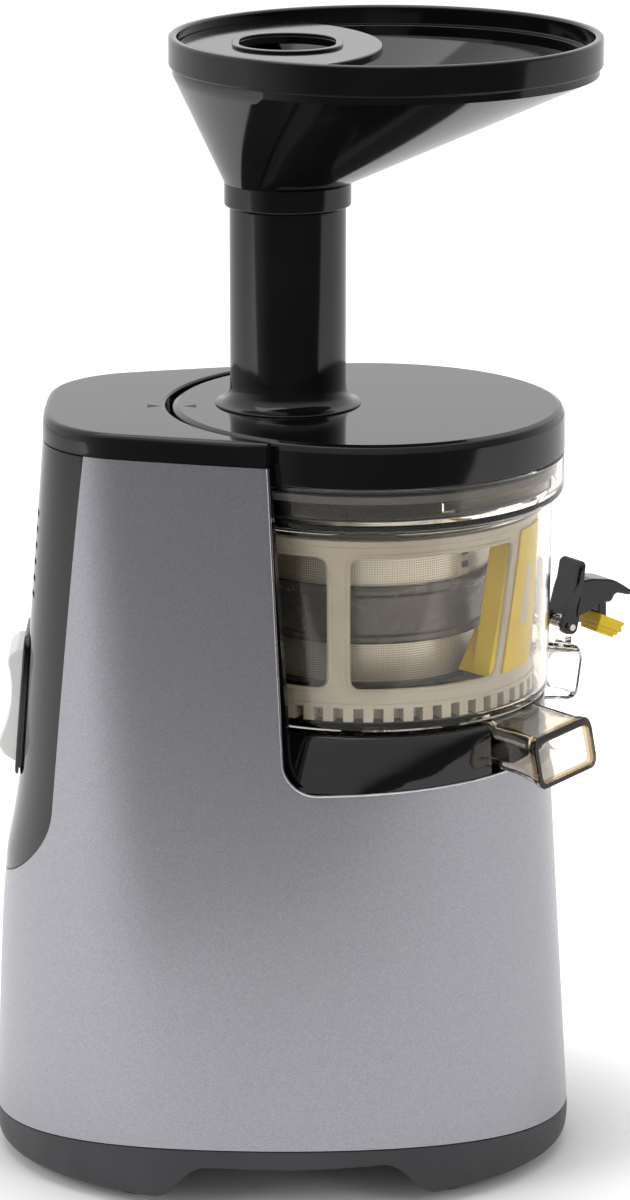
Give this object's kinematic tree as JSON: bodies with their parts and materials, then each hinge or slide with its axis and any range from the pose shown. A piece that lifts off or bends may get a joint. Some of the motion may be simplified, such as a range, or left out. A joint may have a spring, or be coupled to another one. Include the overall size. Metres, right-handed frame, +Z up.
{
  "type": "juicer",
  "caption": "Upright cold press juicer with a clear drum, a feed tube with a wide hopper, two spouts and a silver and black body.",
  "frame": {"origin": "on the axis of the drum and auger, in the plane the feet stand on", "axes": "+Z up, +X towards the front with the two spouts, +Y to the side of the juice spout"},
  "size_m": [0.2318, 0.1674, 0.4],
  "materials": {
    "charcoal_plastic": "fine matte grain",
    "silver_shell": "metallic silver with a fine sparkle, satin",
    "black_gloss": "polished",
    "white_gloss": "polished",
    "clear_plastic": "clear, polished",
    "cream_plastic": "satin",
    "auger_plastic": "satin",
    "grey_plastic": "satin",
    "dark_plastic": "moulded",
    "yellow_silicone": "soft, satin",
    "dark_rubber": "matte",
    "grey_rubber": "matte",
    "fine_steel": "fine brushed",
    "shaft_steel": "ground",
    "zinc_steel": "zinc plated",
    "sintered_steel": "sintered, oiled",
    "core_steel": "varnished laminations",
    "winding_wire": "enamelled",
    "can_steel": "dull zinc",
    "cast_alloy": "die cast",
    "nylon": "moulded, greased",
    "bushing_bronze": "sintered, oiled",
    "board_green": "coated",
    "capacitor_case": "moulded",
    "relay_blue": "moulded",
    "magnet_nickel": "nickel plated"
  },
  "bodies": {
    "housing": {"base_shell": "charcoal_plastic", "foot_pads": "dark_rubber", "base_screws": "zinc_steel", "silver_cover": "silver_shell", "rear_panel": "black_gloss", "top_cover": "black_gloss", "drum_seat": "black_gloss", "bay_wall": "black_gloss", "seat_seal": "grey_rubber", "switch_bezel": "black_gloss", "switch_body": "dark_plastic", "cord_gland": "dark_rubber", "circuit_board": "board_green", "run_capacitor": "capacitor_case", "control_relay": "relay_blue", "reed_sensor": "dark_plastic", "motor_mounts": "dark_rubber", "motor_bracket": "can_steel", "motor_can": "can_steel", "stator": "core_steel", "motor_windings": "winding_wire", "motor_bearings": "shaft_steel", "gearbox_case": "cast_alloy", "gearbox_cover": "cast_alloy", "gearbox_screws": "zinc_steel", "shaft_bearings": "shaft_steel", "layshaft_bushes": "bushing_bronze"},
    "power_switch": {"rocker": "white_gloss"},
    "motor_rotor": {"rotor": "core_steel", "rotor_shaft": "shaft_steel", "cooling_fan": "dark_plastic", "motor_pinion": "shaft_steel"},
    "intermediate_shaft": {"layshaft": "shaft_steel", "layshaft_gear": "nylon"},
    "drive": {"drive_shaft": "shaft_steel", "output_gear": "sintered_steel"},
    "drum_unit": {"drum": "clear_plastic", "drum_seal": "grey_rubber", "pulp_seal": "yellow_silicone", "cap_pin": "fine_steel", "strainer_frame": "grey_plastic", "strainer_mesh": "fine_steel", "idler_pin": "fine_steel"},
    "idler": {"idler_pinion": "nylon"},
    "brush": {"brush_cage": "cream_plastic", "brush_wipers": "yellow_silicone"},
    "auger_unit": {"auger": "auger_plastic", "auger_flights": "auger_plastic"},
    "lid_unit": {"lid": "black_gloss", "feed_tube": "black_gloss", "lid_gasket": "grey_rubber", "lid_magnet": "magnet_nickel"},
    "hopper_unit": {"hopper_neck": "black_gloss", "hopper": "black_gloss", "hopper_guard": "black_gloss"},
    "juice_cap": {"cap_lever": "black_gloss", "cap_plug": "yellow_silicone"}
  },
  "joints": [
    {"name": "switch_press", "type": "hinge", "parent": "housing", "child": "power_switch", "pos_m": [-0.1202, 0, 0.1645], "axis": [0, -1, 0], "range_deg": [0, 8]},
    {"name": "motor_spin", "type": "hinge", "parent": "housing", "child": "motor_rotor", "pos_m": [-0.048, 0, 0.06], "axis": [0, 0, 1], "continuous": true},
    {"name": "layshaft_spin", "type": "hinge", "parent": "housing", "child": "intermediate_shaft", "pos_m": [-0.0315, 0.01743, 0.1], "axis": [0, 0, 1], "continuous": true},
    {"name": "drive_spin", "type": "hinge", "parent": "housing", "child": "drive", "pos_m": [0, 0, 0.1], "axis": [0, 0, 1], "continuous": true},
    {"name": "drum_lift", "type": "slide", "parent": "housing", "child": "drum_unit", "axis": [0, 0, 1], "range_m": [0, 0.15]},
    {"name": "auger_spin", "type": "hinge", "parent": "drum_unit", "child": "auger_unit", "pos_m": [0, 0, 0.2], "axis": [0, 0, 1], "continuous": true},
    {"name": "idler_spin", "type": "hinge", "parent": "drum_unit", "child": "idler", "pos_m": [-0.02944, 0.017, 0.175], "axis": [0, 0, 1], "continuous": true},
    {"name": "brush_spin", "type": "hinge", "parent": "drum_unit", "child": "brush", "pos_m": [0, 0, 0.2], "axis": [0, 0, 1], "continuous": true},
    {"name": "lid_turn", "type": "hinge", "parent": "drum_unit", "child": "lid_unit", "pos_m": [0, 0, 0.26], "axis": [0, 0, 1], "range_deg": [0, 30]},
    {"name": "hopper_lift", "type": "slide", "parent": "lid_unit", "child": "hopper_unit", "axis": [0, 0, 1], "range_m": [0, 0.08]},
    {"name": "cap_swing", "type": "hinge", "parent": "drum_unit", "child": "juice_cap", "pos_m": [0.07127, 0.0499, 0.1775], "axis": [-0.5736, 0.8192, 0], "range_deg": [0, 75]}
  ],
  "couplings": [
    {"joint": "layshaft_spin", "follows": "motor_spin", "ratio": -0.23077},
    {"joint": "drive_spin", "follows": "motor_spin", "ratio": 0.046154},
    {"joint": "auger_spin", "follows": "motor_spin", "ratio": 0.046154},
    {"joint": "idler_spin", "follows": "motor_spin", "ratio": -0.032308},
    {"joint": "brush_spin", "follows": "motor_spin", "ratio": -0.011966}
  ]
}
